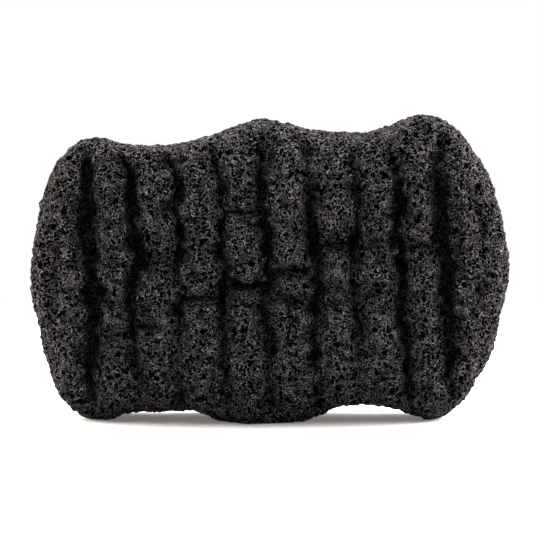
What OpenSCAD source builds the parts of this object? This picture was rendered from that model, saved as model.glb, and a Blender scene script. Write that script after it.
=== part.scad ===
// Six-wave konjac body sponge, standing on its long edge.
// One moulded block of konjac foam: a six-wave outline, a crowned front with ten massage ribs
// and the folds that cross them, and a plain flat back from the open side of the mould.
// X runs along the sponge, -Y is the ribbed front, Z is up; the feet rest on Z = 0.

/* [Overall size] */
// Length from end lobe to end lobe
length = 130; // [116:1:170]
// Height of the sponge standing on its long edge
height = 82.5; // [60:0.5:110]
// Thickness at the crown, from rib crest to back face
thickness = 32; // [28:0.5:44]

/* [Ribbed front] */
// Length of the field of ribs between the two plain end lobes
ribbed_length = 98; // [70:1:104]
// Depth of the deepest groove between two ribs
groove_depth = 5.2; // [1:0.1:6]
// Depth of the deepest fold across a rib
fold_depth = 2; // [0.5:0.1:3]
// Width of a fold from lip to lip
fold_width = 8; // [4:0.25:12]

/* [Back and feet] */
// Depth of the plain back behind the widest outline
back_depth = 13; // [8:0.5:16]
// Crown of the back that its flat cuts off
back_crown = 1.5; // [0.5:0.1:3]
// Depth of the flat pressed into the end feet
foot_flat = 0.8; // [0.3:0.1:1.5]

/* [Hidden] */

front_depth = thickness - back_depth;
end_length = (length - ribbed_length) / 2;

// The widest outline lies this far behind the middle of the thickness
outline_setback = (front_depth - back_depth) / 2;

// Roundness of the outline in plan and of the two faces in section: 2 is an ellipse
end_power = 2.7;
front_power = 2.8;
back_power = 4.5;

// Points over each face of a section, and how far the front's crowd towards the rim
front_steps = 44;
back_steps = 12;
crowding_share = 0.8;

// The sections that carry the loft, from the left end to the right. Each is a curve from the
// bottom edge to the top edge: X and Z of its top point, X of its middle, X and Z of its bottom
// point, the depth of the groove that it lies in, or 0 on the crest of a rib, and its floor.
// X is a share of half the field of ribs up to 1, and from there to 2 a share of an end lobe.
// Z is a share of the height with the foot flats, the groove one of groove_depth, and the floor
// one of the way to the crest beside it.
// The bottom points below the ground are pressed flat: the middle foot carries the sponge.
section_shares = [
    [-2.000, 0.487, -2.000, -2.000, 0.487, 0, 0],
    [-1.925, 0.600, -1.940, -1.930, 0.368, 0, 0],
    [-1.806, 0.708, -1.815, -1.790, 0.250, 0, 0],
    [-1.635, 0.809, -1.635, -1.619, 0.126, 0, 0],
    [-1.345, 0.886, -1.350, -1.325, 0.042, 0, 0],
    [-1.100, 0.916, -1.012, -0.992, 0.008, 1.00, 0.2],
    [-0.937, 0.924, -0.879, -0.897, 0.002, 0, 0],
    [-0.828, 0.908, -0.753, -0.791, 0.030, 0.80, 0],
    [-0.706, 0.899, -0.631, -0.642, 0.033, 0, 0],
    [-0.578, 0.902, -0.509, -0.501, 0.034, 0.75, 0],
    [-0.446, 0.914, -0.389, -0.382, 0.032, 0, 0],
    [-0.308, 0.937, -0.270, -0.263, -0.006, 0.85, 0],
    [-0.188, 0.962, -0.153, -0.130, -0.034, 0, 0],
    [-0.064, 0.982, -0.036, 0.003, -0.038, 0.85, 0],
    [0.069, 0.974, 0.103, 0.130, -0.014, 0, 0],
    [0.207, 0.953, 0.242, 0.260, 0.019, 0.80, 0],
    [0.334, 0.942, 0.364, 0.377, 0.046, 0, 0],
    [0.459, 0.940, 0.487, 0.491, 0.056, 0.60, 0],
    [0.573, 0.949, 0.603, 0.629, 0.052, 0, 0],
    [0.687, 0.967, 0.720, 0.764, 0.033, 0.80, 0],
    [0.817, 1.000, 0.843, 0.883, 0.006, 0, 0],
    [0.942, 0.989, 0.965, 1.008, 0.030, 0.95, 0.2],
    [1.139, 0.944, 1.190, 1.228, 0.072, 0, 0],
    [1.414, 0.875, 1.450, 1.464, 0.138, 0, 0],
    [1.683, 0.778, 1.700, 1.692, 0.222, 0, 0],
    [1.869, 0.661, 1.890, 1.869, 0.368, 0, 0],
    [2.000, 0.517, 2.000, 2.000, 0.517, 0, 0],
];
first_groove = 5;
groove_every = 2;

// The folds across each rib, left to right: height as a share of the section, and depth as a
// share of fold_depth
fold_shares = [
    [[0.634, 0.35], [0.310, 0.30]],
    [[0.458, 0.75], [0.572, 0.25]],
    [[0.632, 0.90], [0.355, 0.65], [0.794, 0.40]],
    [[0.452, 1.00], [0.533, 0.40]],
    [[0.751, 1.00], [0.510, 1.00]],
    [[0.548, 1.00], [0.442, 0.85]],
    [[0.632, 0.80], [0.419, 0.55]],
    [[0.635, 0.65], [0.445, 0.60]],
    [[0.577, 0.75], [0.325, 0.35]],
    [[0.470, 0.85], [0.600, 0.30]],
];

// Where the loft adds rings between two sections, as shares of the step: close to the grooves
plain_ring_shares = [0, 0.5];
to_groove_ring_shares = [0, 0.45, 0.8];
from_groove_ring_shares = [0, 0.2, 0.55];

// Point on a smooth curve through b and c, with a and d as its neighbours
function spline(a, b, c, d, t) =
    0.5 * (2 * b + (c - a) * t + (2 * a - 5 * b + 4 * c - d) * t * t
        + (3 * b - a - 3 * c + d) * t * t * t);

function superellipse(v, power) = pow(max(0, 1 - pow(abs(v), power)), 1 / power);

// Place along the sponge of a share that runs over the field of ribs and the end lobes
function along(share) =
    sign(share)
    * (min(1, abs(share)) * ribbed_length / 2 + max(0, abs(share) - 1) * end_length);

function upright(share) = share * (height + foot_flat) - foot_flat;

// A section in real sizes: its top, middle and bottom points, its groove's depth, and its floor
function section(i) =
    let (s = section_shares[max(0, min(last_section, i))])
    [
        along(s[0]), upright(s[1]), along(s[2]), along(s[3]), upright(s[4]),
        s[5] * groove_depth, s[6]
    ];

// Side of a pillowed rib: 0 at its crest and 1 in the groove, all over the groove's floor
function pillow(t, floor_share) =
    let (side = min(1, t / (1 - floor_share)))
    1 - sqrt(1 - side * side);

function rings_between(i) =
    section(i + 1)[5] > 0 ? to_groove_ring_shares
    : section(i)[5] > 0 ? from_groove_ring_shares
    : plain_ring_shares;

function groove_level(i, t) =
    section(i + 1)[5] > 0 ? pillow(t, section(i + 1)[6])
    : section(i)[5] > 0 ? pillow(1 - t, section(i)[6])
    : 0;

// Number of the rib that lies after section i
function rib_after(i) =
    i < first_groove ? 0
    : min(len(fold_shares) - 1, 1 + floor((i - first_groove) / groove_every));

// One ring of the loft: its edge points, its groove's depth, how far down the rib's side it
// lies, and its rib
function ring_at(i, t) = [
    spline(section(i - 1), section(i), section(i + 1), section(i + 2), t),
    max(section(i)[5], section(i + 1)[5]),
    groove_level(i, t),
    rib_after(i),
];

last_section = len(section_shares) - 1;
rings = [
    for (i = [0:last_section - 1])
        for (t = rings_between(i))
            if (i > 0 || t > 0) ring_at(i, t)
];

// Places over the front from 1 at the top edge to -1 at the bottom, crowded towards the rim
function crowded(k) =
    let (t = 1 - 2 * k / front_steps)
    t * (1 - crowding_share) + sin(90 * t) * crowding_share;

// The same places, with the one nearest to each fold moved onto it
function front_place(k, rib) =
    let (
        upper = (crowded(k - 1) + crowded(k)) / 2,
        lower = (crowded(k) + crowded(k + 1)) / 2,
        on_folds = [
            for (fold = fold_shares[rib])
                let (v = 2 * fold[0] - 1)
                if (v <= upper && v > lower) v
        ]
    )
    len(on_folds) > 0 ? on_folds[0] : crowded(k);

// Places over the back from -1 at the bottom edge to 1 at the top, evenly round its corners
function back_place(k) =
    let (c = -cos(180 * k / back_steps))
    sign(c) * pow(abs(c), 2 / back_power);

// Depth of the folds of one rib at a height share h of a section of that height: they fade
// out with the section towards the end of the sponge
function folds_at(rib, h, section_height) =
    fold_depth * section_height / height * max([
        0,
        for (fold = fold_shares[rib])
            fold[1] * pow(max(0, 1 - abs(h - fold[0]) * section_height / (fold_width / 2)), 1.5)
    ]);

// A point of one ring at place v, from the depth that its face has there
function placed(edge, v, y) =
    let (
        h = (v + 1) / 2,
        x = edge[3] * (1 - h) * (1 - 2 * h) + edge[2] * 4 * h * (1 - h) + edge[0] * h * (2 * h - 1),
        z = edge[4] + (edge[1] - edge[4]) * h
    )
    [x, y + outline_setback, max(0, z)];

function swell(edge) = superellipse((edge[0] + edge[3]) / length, end_power);

function front_point(ring, k) =
    let (
        edge = ring[0],
        v = front_place(k, ring[3]),
        ribbed = front_depth - ring[1] * ring[2]
            - (1 - ring[2]) * folds_at(ring[3], (v + 1) / 2, edge[1] - edge[4])
    )
    placed(edge, v, -swell(edge) * superellipse(v, front_power) * ribbed);

function back_point(ring, k) =
    let (
        v = back_place(k),
        crowned = swell(ring[0]) * superellipse(v, back_power) * (back_depth + back_crown)
    )
    placed(ring[0], v, min(back_depth, crowned));

// The front runs from the top edge down, and the back from the bottom edge up
function ring_points(ring) = [
    for (k = [0:front_steps - 1]) front_point(ring, k),
    for (k = [0:back_steps - 1]) back_point(ring, k),
];

ring_size = front_steps + back_steps;
last_ring = len(rings) - 1;
left_end = len(rings) * ring_size;
right_end = left_end + 1;

module foam_body() {
    points = [
        for (ring = rings) each ring_points(ring),
        placed(section(0), 0, 0),
        placed(section(last_section), 0, 0),
    ];
    faces = [
        for (r = [0:last_ring - 1])
            for (k = [0:ring_size - 1])
                let (
                    a = r * ring_size + k,
                    b = r * ring_size + (k + 1) % ring_size,
                    c = a + ring_size,
                    d = b + ring_size
                )
                each [[a, c, b], [b, c, d]],
        for (k = [0:ring_size - 1])
            [left_end, k, (k + 1) % ring_size],
        for (k = [0:ring_size - 1])
            [right_end, last_ring * ring_size + (k + 1) % ring_size, last_ring * ring_size + k],
    ];
    color([0.17, 0.17, 0.17])
        polyhedron(points, faces, convexity = 10);
}

foam_body();
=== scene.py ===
import math

import bpy
import numpy as np
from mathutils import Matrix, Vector


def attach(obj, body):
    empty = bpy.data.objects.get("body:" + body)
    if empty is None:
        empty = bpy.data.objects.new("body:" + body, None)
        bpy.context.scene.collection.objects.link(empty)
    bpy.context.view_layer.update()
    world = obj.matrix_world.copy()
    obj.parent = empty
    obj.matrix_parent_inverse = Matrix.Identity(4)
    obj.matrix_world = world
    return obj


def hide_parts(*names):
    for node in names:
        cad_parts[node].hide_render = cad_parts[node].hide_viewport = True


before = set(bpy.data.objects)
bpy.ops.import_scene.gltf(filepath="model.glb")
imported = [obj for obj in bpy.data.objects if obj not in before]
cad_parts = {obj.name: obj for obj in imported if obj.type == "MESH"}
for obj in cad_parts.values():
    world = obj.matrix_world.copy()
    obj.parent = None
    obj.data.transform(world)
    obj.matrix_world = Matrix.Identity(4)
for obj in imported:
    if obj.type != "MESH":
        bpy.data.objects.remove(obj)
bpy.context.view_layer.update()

scene = bpy.context.scene
scene.view_settings.view_transform = "Standard"


# The camera
# A long lens stands 0.7 m in front of the ribbed face, six degrees above level, and takes in
# 147 mm of width at the sponge, so that the sponge nearly fills the frame.

sensor_mm = 36.0
camera_distance = 0.7
camera_elevation = math.radians(6.0)
camera_aim = Vector((0.0, 0.003, 0.0405))
photo_width_px = 540
metres_per_pixel = 0.0002725
width_in_view = photo_width_px * metres_per_pixel
camera_data = bpy.data.cameras.new("studio lens")
camera_data.sensor_width = sensor_mm
camera_data.lens = sensor_mm * camera_distance / width_in_view
camera = bpy.data.objects.new("studio camera", camera_data)
scene.collection.objects.link(camera)
camera.location = camera_aim + camera_distance * Vector(
    (0.0, -math.cos(camera_elevation), math.sin(camera_elevation)))
camera.rotation_euler = (camera_aim - camera.location).to_track_quat("-Z", "Y").to_euler()
scene.camera = camera


# The foam body
# The real piece is one block of konjac foam: yam-flour gel whipped with bamboo charcoal, poured
# into a six-wave mould, set, frozen and thawed. Nothing is sewn or glued on: ribs, folds and the
# wavy edge are all the same open-cell foam, which stands here on its pressed middle hump.

MM = 0.001
outline_setback = 3.0
front_depth = 19.0
back_depth = 13.0
back_crown = 1.5
half_length = 65.0
end_power = 2.7
front_power = 2.8
back_power = 4.5

# Sections of the block in millimetres, from the left end to the right: x and z of the top point,
# x of the middle, x and z of the bottom point. Bottom points below the floor are pressed flat.
sections = np.array([
    (-65.0, 39.8, -65.0, -65.0, 39.8), (-63.8, 49.2, -64.0, -63.9, 29.9),
    (-61.9, 58.2, -62.1, -61.6, 20.0), (-59.2, 66.6, -59.2, -58.9, 9.7),
    (-54.5, 73.0, -54.6, -54.2, 2.7), (-50.6, 75.5, -49.2, -48.6, -0.1),
    (-45.9, 76.2, -43.1, -44.0, -0.6), (-40.6, 74.8, -36.9, -38.8, 1.7),
    (-34.6, 74.1, -30.9, -31.5, 1.9), (-28.3, 74.3, -24.9, -24.5, 2.0),
    (-21.9, 75.3, -19.1, -18.7, 1.9), (-15.1, 77.3, -13.2, -12.9, -1.3),
    (-9.2, 79.3, -7.5, -6.4, -3.6), (-3.1, 81.0, -1.8, 0.1, -4.0),
    (3.4, 80.3, 5.0, 6.4, -2.0), (10.1, 78.6, 11.9, 12.7, 0.8),
    (16.4, 77.7, 17.8, 18.5, 3.0), (22.5, 77.5, 23.9, 24.1, 3.9),
    (28.1, 78.3, 29.5, 30.8, 3.5), (33.7, 79.8, 35.3, 37.4, 1.9),
    (40.0, 82.5, 41.3, 43.3, -0.3), (46.2, 81.6, 47.3, 49.1, 1.7),
    (51.2, 77.8, 52.0, 52.6, 5.2), (55.6, 72.1, 56.2, 56.4, 10.7),
    (59.9, 64.0, 60.2, 60.1, 17.7), (62.9, 54.3, 63.2, 62.9, 29.9),
    (65.0, 42.3, 65.0, 65.0, 42.3),
])

# The nine grooves between the ribs, from the top edge down, and the folds that cross the ribs.
# Each row is a place on the face, x and z, the depth there, and half the width of its floor,
# all in millimetres.
grooves = [
    [(-50.3, 74.1, 3.0, 0.3), (-50.2, 71.0, 6.5, 0.6), (-49.5, 67.1, 7.0, 0.9),
     (-49.2, 63.1, 7.5, 1.2), (-49.0, 59.9, 7.5, 1.3), (-48.7, 57.3, 8.0, 2.0),
     (-48.7, 53.8, 8.0, 1.8), (-49.0, 50.3, 7.5, 1.2), (-48.2, 47.1, 7.5, 1.6),
     (-48.2, 43.9, 7.5, 1.6), (-48.2, 40.4, 7.5, 1.2), (-47.7, 36.4, 8.5, 1.8),
     (-47.7, 33.1, 8.5, 1.8), (-47.8, 29.6, 8.0, 1.6), (-47.8, 25.6, 7.5, 1.4),
     (-48.1, 21.5, 7.5, 1.6), (-48.4, 17.9, 7.5, 1.8), (-49.0, 14.0, 7.0, 0.9),
     (-48.6, 10.3, 6.5, 0.8), (-47.9, 6.9, 5.5, 0.8), (-47.4, 4.6, 3.0, 0.5),
     (-47.2, 2.4, 1.0, 0.3)],
    [(-41.2, 75.1, 2.0, 0.3), (-40.3, 73.5, 5.0, 0.5), (-38.8, 70.2, 6.5, 0.6),
     (-37.4, 65.8, 7.5, 0.9), (-37.1, 61.4, 7.5, 0.9), (-36.6, 57.9, 7.5, 0.9),
     (-36.3, 55.0, 7.0, 0.8), (-35.8, 52.1, 6.0, 1.0), (-36.8, 49.4, 7.0, 1.4),
     (-35.2, 45.7, 7.0, 0.8), (-35.0, 43.0, 7.0, 0.8), (-36.3, 40.1, 7.0, 0.7),
     (-37.7, 36.6, 7.5, 0.9), (-37.5, 32.5, 7.0, 0.8), (-36.9, 29.0, 6.5, 0.7),
     (-37.0, 25.8, 5.5, 0.6), (-36.7, 21.7, 6.0, 0.8), (-36.2, 17.5, 6.5, 0.9),
     (-35.5, 13.6, 6.5, 0.9), (-35.3, 9.6, 5.5, 0.7), (-36.2, 6.1, 3.0, 0.5),
     (-36.9, 3.5, 1.0, 0.3)],
    [(-29.3, 74.1, 2.0, 0.3), (-29.0, 72.5, 5.0, 0.6), (-27.6, 70.3, 6.0, 0.6),
     (-25.1, 66.7, 7.0, 0.8), (-24.5, 63.3, 7.0, 0.9), (-25.6, 59.9, 6.5, 0.7),
     (-25.1, 56.7, 6.0, 0.6), (-24.3, 53.0, 7.5, 1.0), (-24.5, 49.3, 7.0, 1.0),
     (-24.0, 45.8, 6.0, 0.6), (-25.1, 42.8, 5.0, 0.5), (-24.0, 39.9, 4.0, 0.5),
     (-22.7, 36.7, 5.0, 0.6), (-23.2, 34.0, 7.0, 0.9), (-24.1, 30.2, 6.0, 0.7),
     (-23.8, 26.4, 5.0, 0.6), (-25.7, 23.1, 4.0, 0.5), (-25.7, 19.0, 4.0, 0.5),
     (-25.2, 14.8, 4.5, 0.6), (-24.2, 10.0, 5.5, 0.7), (-24.3, 6.2, 5.0, 0.7),
     (-24.5, 2.9, 2.0, 0.4)],
    [(-16.1, 75.5, 2.0, 0.3), (-15.5, 73.2, 4.5, 0.5), (-14.7, 69.1, 6.0, 0.6),
     (-13.1, 65.4, 6.5, 0.7), (-12.8, 61.5, 6.5, 0.6), (-12.8, 57.3, 6.5, 0.6),
     (-13.3, 51.9, 7.5, 0.9), (-13.6, 48.8, 6.5, 0.7), (-12.3, 45.3, 6.0, 0.6),
     (-11.5, 41.5, 7.0, 0.8), (-12.3, 38.3, 8.0, 1.1), (-12.8, 34.8, 7.5, 0.9),
     (-12.8, 31.1, 7.0, 0.7), (-12.6, 26.7, 7.0, 0.7), (-12.6, 22.4, 7.0, 0.7),
     (-12.6, 17.7, 7.0, 0.8), (-12.3, 13.6, 5.5, 0.6), (-11.8, 9.9, 5.0, 0.6),
     (-10.8, 6.5, 5.0, 0.6), (-11.1, 2.9, 2.0, 0.4)],
    [(-2.4, 78.5, 2.0, 0.3), (-2.4, 76.4, 5.0, 0.6), (-2.7, 73.3, 6.0, 0.6),
     (-2.7, 69.9, 6.5, 0.6), (-2.4, 66.5, 7.5, 1.1), (-2.1, 63.9, 7.5, 1.0),
     (-2.4, 59.9, 6.5, 0.6), (-1.6, 55.9, 7.0, 0.8), (-0.8, 52.2, 7.5, 1.3),
     (-0.3, 48.8, 7.0, 0.9), (-0.5, 45.6, 7.0, 0.9), (-0.8, 42.1, 7.5, 1.0), (0.0, 39.1, 7.5, 1.1),
     (-2.1, 34.3, 6.0, 0.7), (-1.9, 30.8, 7.0, 0.9), (-1.1, 27.3, 7.5, 1.0), (0.0, 23.8, 7.5, 0.9),
     (0.0, 19.1, 7.0, 0.8), (-0.5, 15.0, 5.5, 0.6), (0.0, 11.7, 6.0, 0.7), (0.8, 8.0, 6.0, 0.7),
     (0.8, 4.3, 4.0, 0.6), (0.8, 1.3, 2.0, 0.4)],
    [(8.8, 75.9, 2.0, 0.3), (9.4, 73.3, 5.5, 0.7), (9.6, 70.2, 3.6, 0.6), (10.4, 66.5, 4.6, 0.7),
     (10.9, 62.8, 5.8, 0.8), (10.7, 58.6, 6.6, 0.9), (10.9, 54.9, 6.5, 0.8),
     (11.2, 51.2, 7.5, 1.0), (11.7, 47.4, 7.0, 1.1), (12.3, 44.2, 7.0, 0.9),
     (12.3, 40.7, 7.0, 0.9), (12.8, 37.2, 7.0, 0.9), (12.8, 34.0, 7.5, 1.2),
     (12.6, 30.2, 7.5, 1.0), (12.3, 26.7, 6.5, 0.7), (12.0, 23.2, 6.5, 0.8),
     (12.1, 19.9, 7.5, 1.1), (12.6, 16.6, 6.5, 0.7), (13.2, 12.9, 6.0, 0.7), (12.7, 8.9, 7.0, 0.9),
     (11.9, 5.4, 4.0, 0.6), (11.7, 2.6, 2.0, 0.4)],
    [(21.9, 73.7, 2.5, 0.4), (21.9, 70.6, 5.5, 0.7), (21.9, 68.0, 4.0, 0.5),
     (22.7, 64.9, 4.5, 0.6), (23.2, 60.7, 6.0, 0.5), (23.2, 56.7, 6.0, 0.5),
     (23.2, 52.7, 6.0, 0.5), (22.7, 49.3, 6.5, 0.7), (21.9, 46.9, 6.5, 0.8),
     (22.1, 43.1, 5.0, 0.6), (22.2, 38.8, 4.5, 0.6), (22.2, 34.0, 6.0, 0.7),
     (23.0, 30.5, 5.0, 0.7), (24.1, 26.7, 5.5, 0.9), (24.6, 22.6, 4.0, 0.6),
     (24.4, 18.4, 4.0, 0.6), (24.2, 14.2, 4.0, 0.6), (24.3, 9.9, 3.5, 0.5), (24.4, 6.5, 2.0, 0.4)],
    [(32.4, 76.4, 2.0, 0.4), (32.9, 73.3, 4.5, 0.6), (33.4, 69.1, 6.5, 0.8),
     (34.4, 65.4, 6.5, 1.0), (34.7, 62.0, 7.5, 1.2), (34.7, 58.5, 7.5, 1.3),
     (34.1, 54.5, 7.5, 1.0), (33.9, 50.5, 7.0, 1.3), (35.0, 46.8, 6.5, 0.8),
     (35.3, 42.5, 7.0, 0.9), (35.5, 37.9, 7.0, 0.9), (35.0, 33.9, 7.0, 0.8),
     (35.1, 29.8, 7.0, 0.9), (35.9, 25.7, 7.0, 1.0), (36.2, 22.2, 7.0, 0.9),
     (36.8, 18.3, 7.5, 0.8), (36.9, 14.1, 7.0, 0.9), (37.5, 10.1, 7.0, 1.1), (37.8, 6.9, 6.0, 1.0),
     (38.2, 4.2, 2.5, 0.5)],
    [(45.9, 79.5, 2.0, 0.3), (46.1, 76.4, 5.0, 0.5), (45.5, 72.7, 6.0, 0.5),
     (44.1, 69.6, 5.5, 1.0), (44.6, 65.9, 5.0, 1.6), (45.7, 62.1, 7.0, 1.3),
     (45.9, 58.7, 8.0, 1.4), (46.2, 55.2, 8.0, 1.5), (46.2, 51.2, 8.0, 1.8),
     (47.1, 47.2, 8.0, 1.7), (47.4, 43.1, 7.5, 1.7), (47.4, 39.1, 7.5, 1.7),
     (47.2, 35.0, 7.5, 1.7), (48.0, 31.5, 8.0, 1.6), (48.0, 27.4, 7.5, 1.6),
     (48.4, 23.3, 7.0, 1.5), (48.7, 19.5, 7.5, 1.4), (48.7, 16.4, 7.5, 1.1),
     (48.5, 13.1, 6.0, 1.0), (49.5, 9.6, 6.0, 0.9), (49.3, 6.7, 4.5, 0.7), (48.9, 4.0, 2.0, 0.4)],
]
folds = [
    [(-56.4, 53.6, 1.2, 0.3), (-57.2, 44.2, 1.8, 0.5), (-58.2, 33.3, 1.8, 0.5),
     (-57.7, 25.2, 1.0, 0.3)],
    [(-55.8, 43.7, 1.0, 0.2), (-51.2, 45.5, 2.0, 0.2)],
    [(-46.1, 32.9, 1.5, 0.2), (-42.3, 33.3, 2.2, 0.2), (-38.3, 33.6, 3.5, 0.2)],
    [(-30.4, 58.8, 1.5, 0.2), (-25.9, 58.3, 3.5, 0.2)],
    [(-23.7, 41.5, 3.0, 0.2), (-18.7, 41.5, 2.0, 0.2)],
    [(-37.2, 27.9, 4.0, 0.3), (-34.0, 26.9, 4.5, 0.3), (-31.0, 27.2, 2.5, 0.2)],
    [(-23.5, 34.0, 5.5, 0.3), (-21.4, 34.5, 6.0, 0.4), (-17.9, 35.3, 5.5, 0.4),
     (-14.1, 34.5, 6.0, 0.4), (-12.0, 34.8, 6.5, 0.4)],
    [(-22.5, 18.5, 1.5, 0.2), (-14.7, 19.1, 2.0, 0.2)],
    [(-12.5, 58.1, 3.5, 0.3), (-9.9, 57.3, 5.0, 0.4), (-7.2, 57.5, 4.5, 0.3),
     (-3.5, 57.3, 5.5, 0.4), (-2.1, 56.5, 6.0, 0.4)],
    [(-11.7, 40.5, 6.0, 0.3), (-9.9, 38.6, 6.5, 0.4), (-6.1, 37.5, 6.0, 0.4),
     (-2.7, 38.1, 6.5, 0.5), (-0.5, 39.7, 6.5, 0.4)],
    [(-0.5, 40.7, 5.0, 0.3), (2.7, 41.8, 5.5, 0.4), (6.1, 41.8, 5.5, 0.4), (10.4, 42.6, 6.0, 0.4)],
    [(1.3, 14.4, 2.5, 0.2), (3.5, 13.6, 3.0, 0.2), (5.4, 15.5, 2.0, 0.2)],
    [(12.0, 48.0, 4.5, 0.3), (14.1, 49.3, 5.0, 0.3), (16.8, 49.6, 4.5, 0.3),
     (19.5, 49.0, 5.0, 0.3), (22.4, 48.7, 6.0, 0.5)],
    [(12.8, 33.5, 4.0, 0.2), (16.8, 34.0, 3.5, 0.2), (21.4, 33.4, 4.0, 0.2)],
    [(23.5, 48.5, 4.5, 0.3), (26.7, 49.3, 4.0, 0.3), (29.3, 50.3, 3.5, 0.2), (33.1, 48.9, 4.5, 0.3)],
    [(23.7, 45.5, 2.5, 0.2), (26.9, 46.6, 2.5, 0.2)],
    [(25.1, 36.1, 3.0, 0.2), (28.6, 36.1, 4.0, 0.3), (31.3, 36.6, 3.5, 0.2),
     (32.3, 40.1, 2.5, 0.2), (33.9, 43.0, 3.0, 0.2)],
    [(27.4, 57.2, 1.5, 0.2), (31.4, 57.2, 1.5, 0.2)],
    [(35.2, 48.4, 4.0, 0.3), (38.2, 48.1, 4.0, 0.3), (40.9, 49.1, 4.0, 0.3), (44.1, 46.7, 4.5, 0.3)],
    [(36.7, 23.8, 3.0, 0.2), (39.4, 26.5, 2.0, 0.2)],
    [(50.1, 38.2, 2.5, 0.2), (55.6, 38.0, 3.5, 0.3), (57.0, 33.9, 3.5, 0.3), (58.5, 29.8, 2.5, 0.2)],
    [(55.5, 50.5, 1.2, 0.2), (59.2, 44.9, 1.5, 0.2)],
    [(50.2, 27.7, 1.2, 0.2), (54.9, 28.3, 1.5, 0.2)],
    [(-35.5, 44.1, 3.0, 0.2), (-32.6, 45.2, 2.0, 0.2)],
    [(-35.0, 42.0, 2.4, 0.2), (-31.5, 42.5, 2.4, 0.2)],
    [(-46.2, 25.1, 3.2, 0.3), (-42.6, 25.7, 3.0, 0.3), (-39.1, 24.9, 3.0, 0.3)],
    [(-46.0, 45.0, 2.4, 0.3), (-42.2, 44.0, 2.4, 0.3), (-37.4, 44.1, 3.0, 0.3)],
    [(-0.5, 37.8, 4.0, 0.3), (1.9, 36.4, 4.5, 0.3), (4.5, 35.1, 5.0, 0.3), (7.2, 34.3, 6.0, 0.4),
     (9.6, 33.2, 4.5, 0.3), (12.0, 32.9, 6.0, 0.4)],
    [(2.4, 77.4, 2.5, 0.4), (1.1, 73.8, 3.2, 0.5), (-0.5, 69.1, 3.2, 0.4)],
    [(-12.3, 34.0, 4.0, 0.4), (-9.1, 32.4, 4.2, 0.4), (-5.3, 33.2, 3.5, 0.4),
     (-2.1, 30.8, 4.0, 0.4)],
    [(50.3, 66.8, 1.5, 0.3), (52.5, 64.1, 2.5, 0.4), (54.4, 60.4, 3.2, 0.5),
     (56.1, 56.6, 3.6, 0.5), (56.9, 53.3, 2.5, 0.3)],
]

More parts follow.
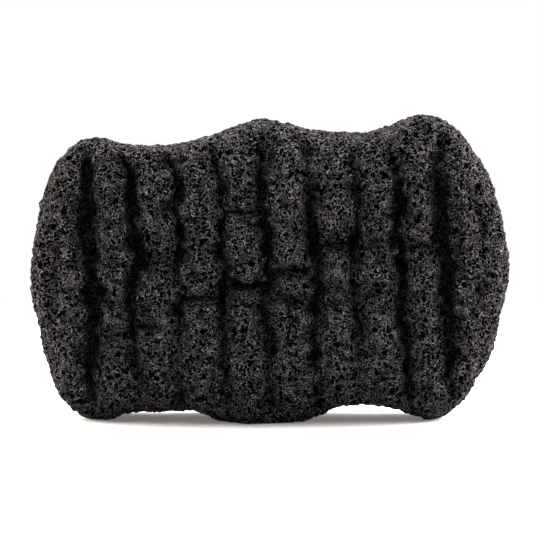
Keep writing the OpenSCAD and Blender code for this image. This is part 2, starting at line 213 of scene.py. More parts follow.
# Broad dents pressed into the ribs, and swellings, whose depth is below 0. Each row is x and z of
# the middle, half the width, half the height, and the depth, all in millimetres.
dents = [
    (-58.4, 40.1, 1.9, 14.7, 1.8), (-48.2, 66.3, 2.1, 6.4, 2.4), (-36.3, 50.8, 2.1, 2.9, 1.6),
    (-30.7, 46.8, 4.8, 4.5, 3.8), (-27.2, 50.0, 2.9, 2.9, 1.4), (-32.6, 41.4, 3.5, 2.4, 1.8),
    (-32.1, 37.4, 3.2, 1.9, 2.4), (-34.5, 32.0, 1.9, 2.1, 1.6), (-34.0, 27.1, 3.2, 1.3, 1.4),
    (-24.3, 8.0, 2.7, 2.7, 1.4), (-0.5, 72.5, 2.1, 4.3, 1.8), (-43.3, 49.9, 2.7, 2.7, -1.0),
    (-30.7, 56.4, 2.9, 2.4, -0.8), (-27.7, 56.4, 1.6, 3.2, 1.5), (-17.9, 30.5, 3.2, 3.2, -2.2),
    (-18.7, 23.7, 2.7, 2.4, -0.8), (-8.0, 28.1, 4.0, 3.5, -1.2), (-30.8, 21.7, 3.5, 3.2, -0.8),
    (-18.8, 12.0, 3.2, 3.2, -0.8), (-20.9, 19.9, 3.2, 1.6, 1.0), (-6.7, 46.6, 3.5, 3.7, -0.9),
    (-8.0, 44.2, 2.9, 2.1, -0.6), (-42.3, 31.1, 2.7, 2.9, -1.2), (-54.3, 26.7, 2.1, 4.8, -0.8),
    (-55.9, 34.5, 2.1, 2.4, -0.6), (-52.2, 55.9, 1.1, 1.6, -1.0), (-55.8, 46.4, 2.9, 4.8, 1.6),
    (-58.8, 26.5, 1.9, 3.2, 1.0), (-40.6, 73.8, 1.9, 1.9, 2.0), (-41.4, 49.7, 1.3, 1.6, -0.8),
    (-40.9, 38.9, 1.6, 1.6, -0.9), (-41.9, 21.0, 1.9, 2.1, -0.9), (-42.5, 14.4, 2.1, 1.9, -0.9),
    (-20.6, 38.0, 2.7, 1.6, -0.6), (-15.7, 43.4, 1.6, 5.3, 1.3), (5.9, 68.6, 1.6, 1.6, 1.2),
    (4.5, 63.4, 2.1, 2.1, -0.6), (16.8, 64.1, 4.8, 1.9, 2.4), (16.0, 51.4, 5.3, 2.1, 2.6),
    (17.0, 58.8, 3.7, 2.4, -2.0), (21.3, 63.3, 2.1, 3.2, 1.2), (21.9, 48.5, 2.1, 2.4, 1.4),
    (21.0, 54.9, 1.6, 3.2, 1.2), (21.9, 38.8, 2.4, 2.4, 1.2), (18.7, 31.6, 1.9, 1.9, -1.3),
    (-7.7, 35.9, 3.2, 1.1, -0.8), (6.1, 46.4, 3.5, 1.9, 1.0), (4.8, 61.2, 2.9, 3.7, -0.6),
    (6.7, 31.3, 3.5, 2.4, -1.8), (0.8, 31.6, 1.3, 1.9, -1.0), (5.9, 21.8, 3.2, 5.3, -0.8),
    (5.6, 39.4, 3.5, 1.9, -1.8), (1.9, 52.0, 2.1, 1.6, -0.7), (16.5, 42.1, 2.7, 2.4, -1.2),
    (28.0, 53.8, 2.7, 2.1, -0.8), (27.2, 42.6, 3.2, 2.4, -0.9), (25.1, 38.5, 2.9, 1.9, 1.7),
    (30.5, 36.1, 1.6, 2.1, -0.9), (23.3, 28.0, 1.9, 4.8, 1.8), (29.2, 29.1, 2.9, 5.3, -0.9),
    (31.1, 21.4, 2.4, 2.4, -0.8), (39.5, 48.9, 3.5, 1.9, 1.8), (43.8, 44.5, 1.6, 2.9, 2.2),
    (42.0, 38.6, 2.1, 4.3, -1.1), (36.9, 41.4, 1.3, 3.2, 1.3), (40.4, 29.8, 2.4, 2.4, -1.3),
    (38.9, 23.5, 2.1, 1.3, -0.8), (45.6, 23.4, 1.3, 3.2, 1.2), (36.0, 44.1, 1.9, 5.3, 1.0),
    (45.4, 65.9, 2.9, 4.0, 1.6), (38.9, 21.1, 2.9, 1.6, 1.0), (38.8, 11.9, 1.9, 2.4, 1.5),
    (42.7, 52.6, 1.3, 3.2, 1.0), (56.7, 37.5, 1.6, 10.1, 1.2), (51.8, 33.6, 2.1, 3.7, -1.3),
    (51.7, 57.8, 2.1, 2.7, -0.9), (56.5, 30.1, 1.9, 2.7, 1.2), (-2.1, 21.0, 26.7, 11.2, -2.0),
    (-32.6, 32.8, 3.5, 2.4, 2.2), (-27.8, 34.0, 3.5, 1.9, 1.5), (-32.9, 27.7, 3.2, 1.6, 1.2),
    (-28.0, 58.8, 2.7, 1.9, 1.6), (-27.7, 45.2, 3.2, 2.4, 1.6), (-38.5, 11.9, 2.4, 3.5, 1.8),
    (-46.0, 53.6, 1.6, 2.4, 1.3), (-18.2, 32.4, 3.7, 2.7, -1.2), (-52.5, 56.1, 1.6, 2.1, -1.2),
    (-53.8, 25.9, 2.1, 3.2, -1.0), (-52.3, 18.3, 1.3, 2.1, -1.0), (-3.7, 39.9, 2.1, 2.1, 1.4),
    (-41.8, 31.6, 2.4, 3.2, -0.8), (10.1, 36.2, 1.9, 3.2, 1.6), (18.6, 56.5, 2.7, 2.4, -1.2),
    (9.1, 26.7, 1.3, 1.6, 1.2), (55.8, 54.5, 1.9, 2.7, 1.6), (53.6, 65.2, 2.1, 3.2, -1.0),
    (32.6, 45.5, 1.6, 2.4, 1.3), (44.9, 44.0, 1.3, 2.7, 1.0), (24.7, 18.7, 3.2, 1.9, 1.4),
    (44.7, 34.3, 1.3, 2.7, 1.0), (49.9, 33.6, 1.3, 2.4, -1.4), (16.0, 43.1, 3.2, 1.9, -1.0),
    (16.3, 36.2, 3.2, 1.9, -1.0), (5.6, 27.0, 3.2, 4.3, -1.0), (20.2, 12.5, 3.7, 2.1, 0.9),
    (8.3, 56.5, 1.3, 2.4, 1.2), (12.8, 59.4, 1.6, 3.7, 1.2), (-10.7, 44.2, 1.6, 3.2, -1.0),
    (5.6, 40.7, 2.9, 1.3, -1.6), (1.9, 32.9, 1.9, 1.9, -1.2), (9.1, 34.8, 1.9, 1.9, 1.4),
    (9.4, 27.0, 1.3, 1.6, 1.0), (1.9, 24.8, 1.3, 1.9, 1.0), (8.0, 48.5, 1.9, 2.7, 1.5),
    (8.0, 55.9, 1.9, 2.4, 1.2), (29.3, 46.8, 2.1, 1.6, -1.2), (19.2, 57.5, 2.4, 1.9, -1.2),
    (27.5, 50.0, 2.4, 1.3, 1.2), (16.5, 36.7, 2.7, 1.3, -1.0), (17.6, 31.8, 2.4, 1.6, -1.2),
    (52.1, 29.8, 1.6, 1.9, 1.2), (56.1, 21.9, 1.3, 2.7, 1.2), (-17.9, 30.8, 3.2, 2.7, -1.0),
    (-40.2, 31.7, 2.4, 3.2, -1.0), (-25.4, 36.4, 1.9, 1.6, 1.4), (-34.8, 33.4, 1.9, 2.1, 1.4),
    (-31.6, 28.5, 2.4, 1.3, 1.4), (-22.7, 42.0, 1.6, 1.6, 1.2), (-16.3, 45.8, 1.6, 1.6, 1.2),
    (-19.7, 53.3, 1.9, 1.3, 1.0), (-39.3, 73.3, 2.4, 1.6, 1.5), (-52.2, 56.9, 1.6, 2.4, -1.2),
    (-54.9, 10.9, 2.1, 2.4, 1.0), (-8.5, 69.9, 2.1, 4.3, -0.8), (-6.4, 29.7, 3.2, 2.4, -0.9),
    (-47.9, 74.6, 2.4, 1.6, 1.2), (-22.6, 12.3, 2.1, 1.6, 1.2), (52.5, 68.4, 1.9, 2.7, -0.8),
    (54.1, 24.8, 2.4, 2.9, -1.0), (39.5, 60.6, 2.4, 4.8, -0.6), (17.4, 23.2, 3.2, 3.7, -0.7),
    (56.9, 48.0, 1.6, 1.3, 1.2),
]

# Smooth random waves over the face, as rows of height, width and seed. They bend the creases
# sideways and upwards, vary the width of their floors and sag the ribs. All are in millimetres
# but the height of the floor waves, which is a share of a floor's width. Their random values
# stand on a square lattice, whose place 40, 20 lies at x 0, z 0.
sideways_waves = [(0.45, 4.5, 11), (0.75, 1.8, 12)]
upward_waves = [(0.45, 4.5, 13), (0.6, 1.8, 14)]
floor_waves = [(0.55, 2.4, 15)]
sag_waves = [(0.45, 6.5, 16), (0.60, 2.8, 17)]
lattice_size = 96
lattice_x, lattice_z = 40, 20

# Half of a groove's depth is a narrow crease and half a wide side that makes pillows of the
# ribs. Each has its share of the floor's width and its reach beyond the floor in millimetres.
# A side is partly an arc of a circle, and no swelling rises past its limit in millimetres. A
# groove is followed in some steps from one row of its table to the next.
crease_floor, crease_reach = 1.3, 3.0
pillow_floor, pillow_reach = 0.5, 5.8
circle_share = 0.6
swell_limit = 3.0
groove_steps = 4

# The grid of the loft: the rings from one section to the next, and the points over the front,
# which crowd towards the rim, and over the back. The grooves fade in from a millimetre past
# the rim, over some millimetres.
ring_steps, front_steps, back_steps = 16, 260, 110
crowding = 0.7
fade_start, fade_width = -1.0, 4.5


def smooth_run(points, steps):
    """Rows of points joined by a smooth curve through them, with some steps between two rows."""
    points = np.asarray(points, dtype=float)
    padded = np.vstack([points[:1], points, points[-1:]])
    t = np.arange(steps)[:, None] / steps
    rows = []
    for a, b, c, d in zip(padded[:-3], padded[1:-2], padded[2:-1], padded[3:]):
        rows.append(0.5 * (2 * b + (c - a) * t + (2 * a - 5 * b + 4 * c - d) * t ** 2
                           + (3 * b - a - 3 * c + d) * t ** 3))
    return np.vstack(rows + [points[-1:]])


def superellipse(v, power):
    return np.clip(1 - np.abs(v) ** power, 0, 1) ** (1 / power)


def rounded_side(distance, floor, reach):
    """1 on a groove's floor and 0 beyond its reach, as the side of a pillow runs between."""
    t = np.clip(1 - (distance - floor) / reach, 0, 1)
    return circle_share * (1 - np.sqrt(1 - t * t)) + (1 - circle_share) * t * t


def wander(x, z, width, seed):
    """A smooth random value from -1 to 1 that changes over the face in steps of a width."""
    lattice = np.random.default_rng(seed).uniform(-1, 1, (lattice_size, lattice_size))
    across, up = x / width + lattice_x, z / width + lattice_z
    i = np.floor(across).astype(int) % (lattice_size - 1)
    j = np.floor(up).astype(int) % (lattice_size - 1)
    s, t = across - np.floor(across), up - np.floor(up)
    s, t = s * s * (3 - 2 * s), t * t * (3 - 2 * t)
    low = lattice[i, j] * (1 - s) + lattice[i + 1, j] * s
    high = lattice[i, j + 1] * (1 - s) + lattice[i + 1, j + 1] * s
    return low * (1 - t) + high * t


def waves(x, z, rows):
    return sum(height * wander(x, z, width, seed) for height, width, seed in rows)


def pressed_depth(x, z):
    """How deep the mould's grooves, the folds and the dents lie below the smooth crown at x, z."""
    ragged_x = x + waves(x, z, sideways_waves)
    ragged_z = z + waves(x, z, upward_waves)
    uneven = 1 + waves(x, z, floor_waves)
    creased, pillowed = np.zeros_like(x), np.zeros_like(x)
    for rows in grooves + folds:
        run = smooth_run(rows, groove_steps)
        for start, end in zip(run[:-1], run[1:]):
            step = end[:2] - start[:2]
            share = (ragged_x - start[0]) * step[0] + (ragged_z - start[1]) * step[1]
            share = np.clip(share / max(step @ step, 1e-9), 0, 1)
            gap = np.hypot(ragged_x - start[0] - share * step[0],
                           ragged_z - start[1] - share * step[1])
            half_depth = (start[2] + share * (end[2] - start[2])) / 2
            floor = (start[3] + share * (end[3] - start[3])) * uneven
            crease = half_depth * rounded_side(gap, crease_floor * floor, crease_reach)
            pillow = half_depth * rounded_side(gap, pillow_floor * floor, pillow_reach)
            creased, pillowed = np.maximum(creased, crease), np.maximum(pillowed, pillow)
    sagged = waves(x, z, sag_waves)
    for centre_x, centre_z, half_width, half_height, depth in dents:
        sagged += depth * np.exp(-((x - centre_x) / half_width) ** 2
                                 - ((z - centre_z) / half_height) ** 2)
    dented, swollen = np.maximum(sagged, 0), np.minimum(sagged, 0)
    return creased + pillowed + dented + swell_limit * np.tanh(swollen / swell_limit)


def foam_block():
    """The moulded block before its cells are opened, as one closed mesh in metres. An attribute
    keeps how deep each point lies in the grooves, folds and dents, in millimetres."""
    rings = smooth_run(sections, ring_steps)[1:-1]
    t = 1 - 2 * np.arange(front_steps) / front_steps
    front_v = (1 - crowding) * t + crowding * np.sin(np.pi / 2 * t)
    turn = -np.cos(np.pi * np.arange(back_steps) / back_steps)
    back_v = np.sign(turn) * np.abs(turn) ** (2 / back_power)
    v = np.concatenate([front_v, back_v])[None, :]
    h = (v + 1) / 2
    top_x, top_z, middle_x, bottom_x, bottom_z = (rings[:, i:i + 1] for i in range(5))
    x = bottom_x * (1 - h) * (1 - 2 * h) + middle_x * 4 * h * (1 - h) + top_x * h * (2 * h - 1)
    z = bottom_z + (top_z - bottom_z) * h
    swell = superellipse((top_x + bottom_x) / 2 / half_length, end_power)
    from_rim = (1 - np.abs(v)) * (top_z - bottom_z) / 2
    pressed = pressed_depth(x, z) * np.clip((from_rim - fade_start) / fade_width, 0, 1)
    front = swell * superellipse(v, front_power) * (front_depth - pressed)
    back = np.minimum(back_depth, swell * superellipse(v, back_power) * (back_depth + back_crown))
    is_front = np.arange(v.shape[1])[None, :] < front_steps
    y = outline_setback + np.where(is_front, -front, back)
    points = np.stack([x, y, z], axis=-1).reshape(-1, 3)
    tips = [[sections[end][0], outline_setback, sections[end][1]] for end in (0, -1)]
    points = np.vstack([points, tips]) * MM

    count, size = x.shape
    ring, place = np.meshgrid(np.arange(count - 1), np.arange(size), indexing="ij")
    a = ring * size + place
    b = ring * size + (place + 1) % size
    quads = np.stack([a, a + size, b + size, b], axis=-1).reshape(-1, 4)
    rim = np.arange(size)
    following = (rim + 1) % size
    left_tip, right_tip, last = count * size, count * size + 1, (count - 1) * size
    left_fan = np.stack([np.full(size, left_tip), rim, following], axis=-1)
    right_fan = np.stack([np.full(size, right_tip), last + following, last + rim], axis=-1)
    mesh = bpy.data.meshes.new("foam block")
    mesh.from_pydata(points.tolist(), [], quads.tolist() + left_fan.tolist() + right_fan.tolist())
    mesh.update()
    grooved = np.append(np.where(is_front, pressed, 0).ravel(), [0, 0])
    mesh.attributes.new("pressed", "FLOAT", "POINT").data.foreach_set("value", grooved)
    return mesh


def add_node(tree, kind, feeds=None, **settings):
    """Add a node; feeds gives each input, by name or number, a value or the output it reads."""
    node = tree.nodes.new(kind)
    for name, value in settings.items():
        setattr(node, name, value)
    for key, feed in (feeds or {}).items():
        if isinstance(feed, bpy.types.NodeSocket):
            tree.links.new(feed, node.inputs[key])
        else:
            node.inputs[key].default_value = feed
    return node


def maths(tree, operation, result, *others):
    """A value joined with others, one after the other, by a maths operation."""
    for other in others:
        result = add_node(tree, "ShaderNodeMath", {0: result, 1: other},
                          operation=operation).outputs[0]
    return result


def map_range(tree, value, low, high, to_low=0.0, to_high=1.0, smooth=False):
    """to_low where a value is at or below low, to_high at or above high, and a blend between."""
    return add_node(tree, "ShaderNodeMapRange",
                    {"Value": value, "From Min": low, "From Max": high, "To Min": to_low,
                     "To Max": to_high},
                    interpolation_type="SMOOTHSTEP" if smooth else "LINEAR").outputs["Result"]


def moved(tree, vector, shift):
    return add_node(tree, "ShaderNodeVectorMath", {0: vector, 1: shift},
                    operation="ADD").outputs[0]


def scaled(tree, vector, factor):
    return add_node(tree, "ShaderNodeVectorMath", {0: vector, "Scale": factor},
                    operation="SCALE").outputs[0]


def linear(hex_colour):
    """The linear colour of an sRGB hex value, with full alpha."""
    channels = [int(hex_colour[i:i + 2], 16) / 255 for i in (1, 3, 5)]
    return (*(c / 12.92 if c <= 0.04045 else ((c + 0.055) / 1.055) ** 2.4 for c in channels), 1.0)


def own_place(tree, place_mm, seed):
    """A place moved away by a seed, so that each family of cells has a pattern of its own."""
    seed_step = (17.3, 5.9, 11.7)
    return moved(tree, place_mm, [seed * step for step in seed_step])


def burst_bubbles(tree, place_mm, spacing, smallest, largest, share, seed):
    """How far inside a burst bubble a place lies, in mm; below 0 it is in the foam around it. A
    chance from 0 to 1 is cubed for each bubble's size, which makes the largest ones rare."""
    bubbles = add_node(tree, "ShaderNodeTexVoronoi",
                       {"Vector": own_place(tree, place_mm, seed), "Scale": 1 / spacing}).outputs
    chance = add_node(tree, "ShaderNodeSeparateXYZ", {0: bubbles["Color"]}).outputs
    rarity = maths(tree, "POWER", chance[0], 3.0)
    radius = map_range(tree, rarity, 0.0, 1.0, smallest, largest)
    is_burst = maths(tree, "LESS_THAN", chance[1], share)
    burst_radius = maths(tree, "MULTIPLY", radius, is_burst)
    from_middle = maths(tree, "MULTIPLY", bubbles["Distance"], spacing)
    return maths(tree, "SUBTRACT", burst_radius, from_middle)


def cell_net(tree, place_mm, spacing, share, seed):
    """How far a place lies from the film round its cell, in mm, and 1 where the cell is torn."""
    place = own_place(tree, place_mm, seed)
    cells = add_node(tree, "ShaderNodeTexVoronoi", {"Vector": place, "Scale": 1 / spacing})
    films = add_node(tree, "ShaderNodeTexVoronoi", {"Vector": place, "Scale": 1 / spacing},
                     feature="DISTANCE_TO_EDGE")
    chance = add_node(tree, "ShaderNodeSeparateXYZ", {0: cells.outputs["Color"]}).outputs
    is_torn = maths(tree, "LESS_THAN", chance[1], share)
    from_film = maths(tree, "MULTIPLY", films.outputs["Distance"], spacing)
    return from_film, is_torn


# The foam's cells, in millimetres: large burst bubbles and smaller round pores, which are real
# holes, and the common and fine cells whose films tore at the surface, which the material shows.
# Each family has the share of it that is open, and a fixed seed.
large_bubbles = dict(spacing=2.1, smallest=0.42, largest=1.05, share=0.54, seed=1)
pores = dict(spacing=0.85, smallest=0.27, largest=0.52, share=0.84, seed=4)
common_cells = dict(spacing=1.20, share=0.38, seed=2)
fine_cells = dict(spacing=0.66, share=0.55, seed=3)

# The tree lumps and dimples the moulded skin a little, opens the bubbles and pores into it, and
# presses the feet flat on the floor. Its inputs are in millimetres.
opening = bpy.data.node_groups.new("opened foam cells", "GeometryNodeTree")
opening.interface.new_socket("Foam", in_out="INPUT", socket_type="NodeSocketGeometry")
sizes = {"Lump Height": 1.4, "Lump Width": 8.0, "Dimple Height": 1.9, "Dimple Width": 2.0,
         "Waver": 0.45, "Waver Width": 0.9, "Bubble Depth": 1.1, "Bubble Wall": 0.26,
         "Pore Depth": 0.6, "Pore Wall": 0.18}
identifiers = {name: opening.interface.new_socket(
    name, in_out="INPUT", socket_type="NodeSocketFloat").identifier for name in sizes}
finish_socket = opening.interface.new_socket(
    "Finish", in_out="INPUT", socket_type="NodeSocketMaterial")
loft_socket = opening.interface.new_socket("Loft", in_out="INPUT", socket_type="NodeSocketObject")
opening.interface.new_socket("Foam", in_out="OUTPUT", socket_type="NodeSocketGeometry")
given = add_node(opening, "NodeGroupInput").outputs
position = add_node(opening, "GeometryNodeInputPosition").outputs[0]
normal = add_node(opening, "GeometryNodeInputNormal").outputs[0]
in_mm = scaled(opening, position, 1 / MM)

# The even skin has lost the loft's note of its depth, so each point reads it from the loft.
loft = add_node(opening, "GeometryNodeObjectInfo", {"Object": given["Loft"]}).outputs["Geometry"]
loft_pressed = add_node(opening, "GeometryNodeInputNamedAttribute", {"Name": "pressed"},
                        data_type="FLOAT").outputs["Attribute"]
nearest = add_node(opening, "GeometryNodeSampleNearestSurface",
                   {"Mesh": loft, "Value": loft_pressed}, data_type="FLOAT").outputs["Value"]
shape = add_node(opening, "GeometryNodeStoreNamedAttribute",
                 {"Geometry": given["Foam"], "Name": "pressed", "Value": nearest},
                 data_type="FLOAT", domain="POINT").outputs[0]
for width, height, shift in (("Lump Width", "Lump Height", 40.0),
                             ("Dimple Width", "Dimple Height", 90.0)):
    coarseness = maths(opening, "DIVIDE", 1.0, given[width])
    lumps = add_node(opening, "ShaderNodeTexNoise",
                     {"Vector": moved(opening, in_mm, (shift, shift, shift)),
                      "Scale": coarseness, "Detail": 1.0}).outputs["Fac"]
    rise = maths(opening, "SUBTRACT", lumps, 0.5)
    rise_mm = maths(opening, "MULTIPLY", rise, given[height])
    lift = scaled(opening, normal, maths(opening, "MULTIPLY", rise_mm, MM))
    shape = add_node(opening, "GeometryNodeSetPosition",
                     {"Geometry": shape, "Offset": lift}).outputs[0]

# Each point keeps its wavered place, from which the tree and the material work out the same cells.
waver = add_node(opening, "ShaderNodeTexNoise",
                 {"Vector": in_mm, "Scale": maths(opening, "DIVIDE", 1.0, given["Waver Width"]),
                  "Detail": 1.0}).outputs["Color"]
wavered = moved(opening, in_mm, scaled(opening, waver, given["Waver"]))
shape = add_node(opening, "GeometryNodeStoreNamedAttribute",
                 {"Geometry": shape, "Name": "cell_place", "Value": wavered},
                 data_type="FLOAT_VECTOR", domain="POINT").outputs[0]
cell_place = add_node(opening, "GeometryNodeInputNamedAttribute", {"Name": "cell_place"},
                      data_type="FLOAT_VECTOR").outputs["Attribute"]
bubble_mm = map_range(opening, burst_bubbles(opening, cell_place, **large_bubbles),
                      0.0, given["Bubble Wall"], 0.0, given["Bubble Depth"], smooth=True)
pore_mm = map_range(opening, burst_bubbles(opening, cell_place, **pores),
                    0.0, given["Pore Wall"], 0.0, given["Pore Depth"], smooth=True)
hole_mm = maths(opening, "MAXIMUM", bubble_mm, pore_mm)
sink = scaled(opening, normal, maths(opening, "MULTIPLY", hole_mm, -MM))
shape = add_node(opening, "GeometryNodeSetPosition",
                 {"Geometry": shape, "Offset": sink}).outputs[0]
apart = add_node(opening, "ShaderNodeSeparateXYZ", {0: position}).outputs
on_floor = add_node(opening, "ShaderNodeCombineXYZ",
                    {0: apart[0], 1: apart[1], 2: maths(opening, "MAXIMUM", apart[2], 0.0)})
shape = add_node(opening, "GeometryNodeSetPosition",
                 {"Geometry": shape, "Position": on_floor.outputs[0]}).outputs[0]
shape = add_node(opening, "GeometryNodeSetShadeSmooth", {"Geometry": shape}).outputs[0]
shape = add_node(opening, "GeometryNodeRealizeInstances", {"Geometry": shape}).outputs[0]
shape = add_node(opening, "GeometryNodeSetMaterial",
                 {"Geometry": shape, "Material": given["Finish"]}).outputs[0]
add_node(opening, "NodeGroupOutput", {0: shape})


def mixed(tree, share, colour, other, blend="MIX"):
    """A colour with a share of another mixed in; the node's sockets 6 and 7 are its colours."""
    return add_node(tree, "ShaderNodeMix", {"Factor": share, 6: colour, 7: other},
                    data_type="RGBA", blend_type=blend).outputs[2]


# Charcoal konjac foam, thawed and left air dry: a matte, porous net of gel films that hardly
# glint, whose glints are painted as pale specks into the colour. The charcoal colours it through,
# so the films read mid grey; the holes are painted nearly black as the shade inside them.
foam = bpy.data.materials.new("charcoal konjac foam, air dried")
foam.use_nodes = True
foam_tree = foam.node_tree
foam_shader = foam_tree.nodes["Principled BSDF"]
hole_shade_black = linear("#010101")
film_dark = linear("#121212")
film_mid = linear("#444444")
net_dark = linear("#1c1c1c")
# The net's lightest tone is partly the films' own and partly painted glint.
net_light_and_painted_glint = linear("#a9a8a6")
cool_tint = linear("#e6e4ef")
warm_tint = linear("#f8f2f4")
grain_mm = 0.34
clump_mm = 2.8
patch_mm = 9.0
place_mm = add_node(foam_tree, "ShaderNodeAttribute", attribute_name="cell_place").outputs["Vector"]
pressed_mm = add_node(foam_tree, "ShaderNodeAttribute", attribute_name="pressed").outputs["Fac"]
in_large = burst_bubbles(foam_tree, place_mm, **large_bubbles)
in_pore = burst_bubbles(foam_tree, place_mm, **pores)
from_common, common_torn = cell_net(foam_tree, place_mm, **common_cells)
from_fine, fine_torn = cell_net(foam_tree, place_mm, **fine_cells)

# The holes' sharp edges: each opens within a tenth of a millimetre to black, painted shade for
# the hole's inside. The common and fine holes are not cut into the mesh.
in_common = maths(foam_tree, "MULTIPLY", from_common, common_torn)
in_fine = maths(foam_tree, "MULTIPLY", from_fine, fine_torn)
large_hole = map_range(foam_tree, in_large, -0.03, 0.06)
pore_hole = map_range(foam_tree, in_pore, -0.02, 0.06)
common_hole = map_range(foam_tree, in_common, 0.14, 0.20)
fine_hole = map_range(foam_tree, in_fine, 0.08, 0.16, 0.0, 0.9)
hole_shade_share = maths(foam_tree, "MAXIMUM", large_hole, pore_hole, common_hole, fine_hole)

# The pale net: films between cells, pale partly of their own and partly as painted glint, and
# the lips round bubbles and pores, painted lighter as a rim highlight.
common_net = map_range(foam_tree, from_common, 0.05, 0.14, 0.70, 0.0)
fine_net = map_range(foam_tree, from_fine, 0.03, 0.12, 0.35, 0.0)
large_lip_highlight = map_range(foam_tree, in_large, -0.24, -0.05, 0.0, 0.95)
pore_lip_highlight = map_range(foam_tree, in_pore, -0.15, -0.03, 0.0, 0.42)
net_and_highlight_share = maths(foam_tree, "MAXIMUM", common_net, fine_net, large_lip_highlight, pore_lip_highlight)

# The grain of single films, clumps that took up more or less charcoal, and wide patches that
# lean a little warmer or cooler.
grain = add_node(foam_tree, "ShaderNodeTexNoise",
                 {"Vector": place_mm, "Scale": 1 / grain_mm, "Detail": 2.0,
                  "Roughness": 0.6}).outputs["Fac"]
clumps = add_node(foam_tree, "ShaderNodeTexNoise",
                  {"Vector": place_mm, "Scale": 1 / clump_mm, "Detail": 1.0}).outputs["Fac"]
patches = add_node(foam_tree, "ShaderNodeTexNoise",
                   {"Vector": place_mm, "Scale": 1 / patch_mm, "Detail": 3.0}).outputs["Fac"]
grain_share = map_range(foam_tree, grain, 0.455, 0.70)
film_tone = mixed(foam_tree, grain_share, film_dark, film_mid)
net_and_glint_tone = mixed(foam_tree, grain_share, net_dark, net_light_and_painted_glint)
skin_tone = mixed(foam_tree, net_and_highlight_share, film_tone, net_and_glint_tone)
patch_tone = mixed(foam_tree, patches, cool_tint, warm_tint)
patched_tone = mixed(foam_tree, 1.0, skin_tone, patch_tone, blend="MULTIPLY")
clumped_tone = scaled(foam_tree, patched_tone, map_range(foam_tree, clumps, 0.36, 0.64, 0.62, 1.38))

# Painted shade deep in the grooves: from about 3 to 7 mm down the colour is darkened towards
# black, a quarter less where the net is pale.
painted_groove_shade = maths(foam_tree, "MULTIPLY", map_range(foam_tree, pressed_mm, 2.8, 6.8),
                   map_range(foam_tree, net_and_highlight_share, 0.0, 1.0, 1.0, 0.75))
hole_and_groove_shade = maths(foam_tree, "MAXIMUM", hole_shade_share, painted_groove_shade)
# The holes and the deep grooves are painted towards black as shade.
colour = mixed(foam_tree, hole_and_groove_shade, clumped_tone, hole_shade_black)
foam_tree.links.new(colour, foam_shader.inputs["Base Color"])
foam_tree.links.new(map_range(foam_tree, grain, 0.35, 0.7, 0.78, 0.34),
                    foam_shader.inputs["Roughness"])
foam_shader.inputs["IOR"].default_value = 1.42
foam_shader.inputs["Specular IOR Level"].default_value = 0.02
grain_rise = maths(foam_tree, "MULTIPLY", grain, 0.25)
hole_fall = maths(foam_tree, "MULTIPLY", hole_shade_share, -0.30)
relief = add_node(foam_tree, "ShaderNodeBump",
                  {"Height": maths(foam_tree, "ADD", grain_rise, hole_fall), "Strength": 1.0,
                   "Distance": MM})
foam_tree.links.new(relief.outputs[0], foam_shader.inputs["Normal"])

# The loft gets an even skin of small faces, fine enough for a pore, before the tree opens it.
voxel_mm = 0.28
loft_object = bpy.data.objects.new("moulded loft", foam_block())
moulded = bpy.data.objects.new("moulded block", loft_object.data)
scene.collection.objects.link(loft_object)
scene.collection.objects.link(moulded)
skin = moulded.modifiers.new("even skin", "REMESH")
skin.mode = "VOXEL"
skin.voxel_size = voxel_mm * MM
cut = moulded.modifiers.new("open cells", "NODES")
cut.node_group = opening
for name, value in sizes.items():
    cut[identifiers[name]] = value
cut[finish_socket.identifier] = foam
cut[loft_socket.identifier] = loft_object
bpy.context.view_layer.update()
sponge_mesh = bpy.data.meshes.new_from_object(
    moulded.evaluated_get(bpy.context.evaluated_depsgraph_get()))
bpy.data.objects.remove(moulded)
bpy.data.objects.remove(loft_object)
sponge_mesh.name = "opened foam"
sponge = bpy.data.objects.new("foam_sponge", sponge_mesh)
scene.collection.objects.link(sponge)
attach(sponge, "root")
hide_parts("foam_body")


# The floor
# A sweep of matte white paper lies under the sponge and lights it as plain paper does. The camera
# and any gloss see that paper with a faint warm glow in its shadows, and further off plain white.

paper_half = 2.5
paper_tone = 0.75
paper_seen = 0.95
paper_glow = 0.14
glow_tint = (1.0, 0.88, 0.84, 1)
near_reach, far_reach = 0.09, 0.30


def seen_rays(tree):
    """1 for the rays that show a surface: the camera's, and those off gloss and through glass."""
    rays = add_node(tree, "ShaderNodeLightPath").outputs
    return maths(tree, "MAXIMUM", rays["Is Camera Ray"], rays["Is Glossy Ray"],
                 rays["Is Transmission Ray"])


floor_mesh = bpy.data.meshes.new("paper sweep")
floor_mesh.from_pydata([(-paper_half, -paper_half, 0), (paper_half, -paper_half, 0),
                        (paper_half, paper_half, 0), (-paper_half, paper_half, 0)],
                       [], [(0, 1, 2, 3)])
floor = bpy.data.objects.new("paper_floor", floor_mesh)
scene.collection.objects.link(floor)
paper = bpy.data.materials.new("matte white paper, rolled")
paper.use_nodes = True
paper_tree = paper.node_tree
paper_tree.nodes.remove(paper_tree.nodes["Principled BSDF"])
plain_paper = add_node(paper_tree, "ShaderNodeBsdfDiffuse",
                       {"Color": (paper_tone, paper_tone, paper_tone, 1)}).outputs[0]
lit_paper = add_node(paper_tree, "ShaderNodeBsdfDiffuse",
                     {"Color": (paper_seen, paper_seen, paper_seen, 1)}).outputs[0]
glow_paper = add_node(paper_tree, "ShaderNodeEmission",
                      {"Color": glow_tint, "Strength": paper_glow}).outputs[0]
near_paper = add_node(paper_tree, "ShaderNodeAddShader", {0: lit_paper, 1: glow_paper}).outputs[0]
far_paper = add_node(paper_tree, "ShaderNodeEmission",
                     {"Color": (1, 1, 1, 1), "Strength": 1.0}).outputs[0]
paper_place = add_node(paper_tree, "ShaderNodeTexCoord").outputs["Object"]
paper_reach = add_node(paper_tree, "ShaderNodeVectorMath", {0: paper_place}, operation="LENGTH")
far_share = map_range(paper_tree, paper_reach.outputs["Value"], near_reach, far_reach, smooth=True)
seen_paper = add_node(paper_tree, "ShaderNodeMixShader",
                      {0: far_share, 1: near_paper, 2: far_paper}).outputs[0]
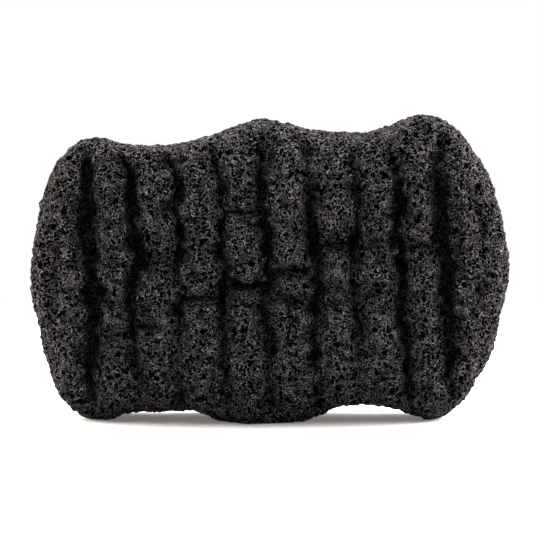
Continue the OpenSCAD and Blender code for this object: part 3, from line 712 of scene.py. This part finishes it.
whole_paper = add_node(paper_tree, "ShaderNodeMixShader",
                       {0: seen_rays(paper_tree), 1: plain_paper, 2: seen_paper}).outputs[0]
paper_tree.links.new(whole_paper, paper_tree.nodes["Material Output"].inputs[0])

# The paper's glow and its white are only for the eye, so it isn't sampled as a lamp.
paper.cycles.emission_sampling = "NONE"
floor_mesh.materials.append(paper)


# The studio light
# White walls and a lit backdrop stand round the sponge. Soft boxes at both ends and high behind
# rake its rim and the sides of the ribs with warmer light, while one overhead and one from the
# right keep its front at a plain level.

wall_light = 0.18
backdrop_light = 1.5
world = bpy.data.worlds.new("white walls")
scene.world = world
world.use_nodes = True
world_tree = world.node_tree
direction = add_node(world_tree, "ShaderNodeTexCoord").outputs["Generated"]
backwards = add_node(world_tree, "ShaderNodeSeparateXYZ", {0: direction}).outputs["Y"]
lit_walls = map_range(world_tree, backwards, 0.0, 1.0, wall_light, backdrop_light)
walls = map_range(world_tree, seen_rays(world_tree), 0.0, 1.0, lit_walls, 1.0)
world_tree.links.new(walls, world_tree.nodes["Background"].inputs["Strength"])
world_tree.nodes["Background"].inputs["Color"].default_value = (1, 1, 1, 1)


def stand_soft_box(name, place, width, height, watts, tint):
    """A rectangular soft box at a place, facing the sponge."""
    light = bpy.data.lights.new(name, "AREA")
    light.shape = "RECTANGLE"
    light.size, light.size_y = width, height
    light.energy = watts
    light.color = tint
    box = bpy.data.objects.new(name, light)
    scene.collection.objects.link(box)
    box.location = place
    box.rotation_euler = (camera_aim - Vector(place)).to_track_quat("-Z", "Y").to_euler()


warm_white = (1.0, 0.92, 0.84)
plain_white = (1, 1, 1)
stand_soft_box("left rim box", (-0.95, 0.36, 0.42), 0.7, 0.8, 31.0, warm_white)
stand_soft_box("right rim box", (0.95, 0.34, 0.42), 0.7, 0.8, 34.0, warm_white)
stand_soft_box("high back box", (0.0, 0.40, 1.00), 0.9, 0.6, 22.0, warm_white)
stand_soft_box("overhead box", (0.1, -0.15, 1.10), 0.9, 0.7, 9.2, plain_white)
stand_soft_box("right fill box", (0.75, -0.25, 0.85), 0.7, 0.7, 4.2, plain_white)
